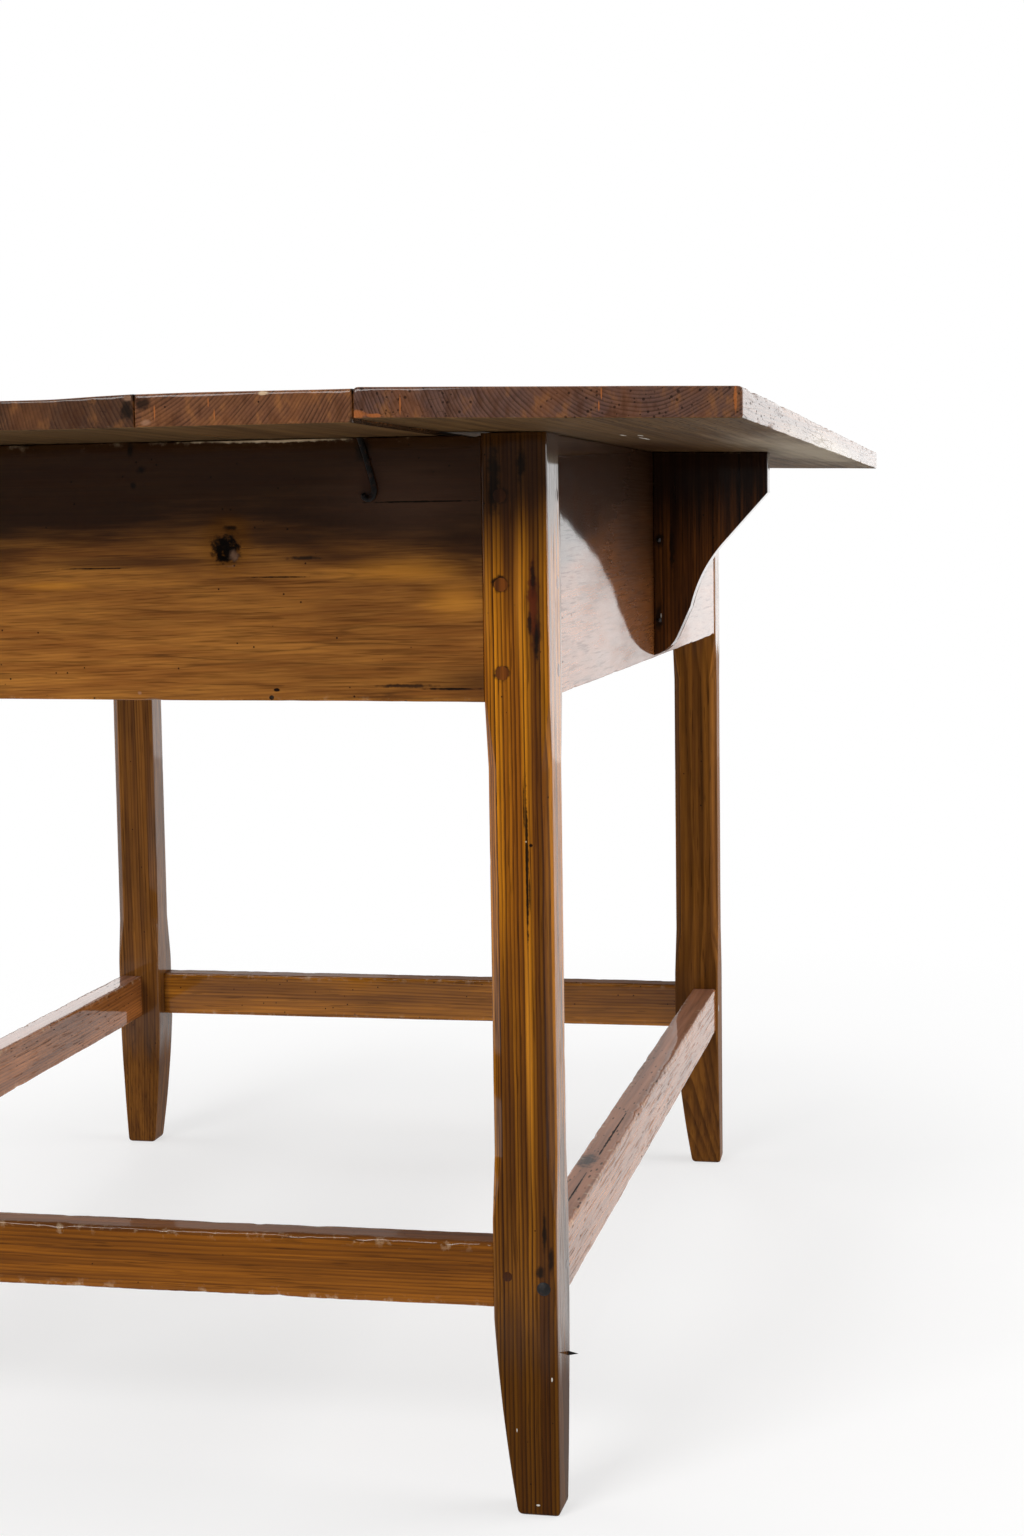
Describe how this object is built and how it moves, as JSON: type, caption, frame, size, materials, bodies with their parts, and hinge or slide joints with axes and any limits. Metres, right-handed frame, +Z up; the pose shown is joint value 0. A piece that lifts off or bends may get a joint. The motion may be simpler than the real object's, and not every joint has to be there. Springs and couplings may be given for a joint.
{
  "type": "tavern table",
  "caption": "Rectangular plank-topped dining table on stop-chamfered square legs with tapered feet, deep pegged aprons, low box stretchers and a shaped bracket under each side overhang.",
  "frame": {"origin": "on the floor, under the middle of the table", "axes": "+Z up, +Y along the table's length from the near end to the far end, +X across it to the right"},
  "size_m": [0.962, 1.414, 0.7559],
  "materials": {
    "top": "old varnished pine, worn",
    "legs": "old varnished heart pine",
    "aprons": "old varnished heart pine",
    "stretchers": "old varnished heart pine, rubbed",
    "brackets": "old varnished pine",
    "pegs": "dark end grain",
    "iron": "black, rusted"
  },
  "bodies": {
    "root": {"leg_front_right": "legs", "leg_front_left": "legs", "leg_rear_right": "legs", "leg_rear_left": "legs", "apron_front": "aprons", "apron_rear": "aprons", "apron_right": "aprons", "apron_left": "aprons", "stretcher_front": "stretchers", "stretcher_rear": "stretchers", "stretcher_right": "stretchers", "stretcher_left": "stretchers", "bracket_right": "brackets", "bracket_left": "brackets", "top_board_right_edge": "top", "top_board_right_second": "top", "top_board_centre": "top", "top_board_left_second": "top", "top_board_left_edge": "top", "apron_end_pegs": "pegs", "apron_side_pegs": "pegs", "stretcher_end_pegs": "pegs", "stretcher_side_pegs": "pegs", "top_nails": "iron", "bracket_nails": "iron", "leg_forged_nail": "iron", "leg_nail_point": "iron", "apron_iron_hook": "iron"}
  },
  "joints": []
}
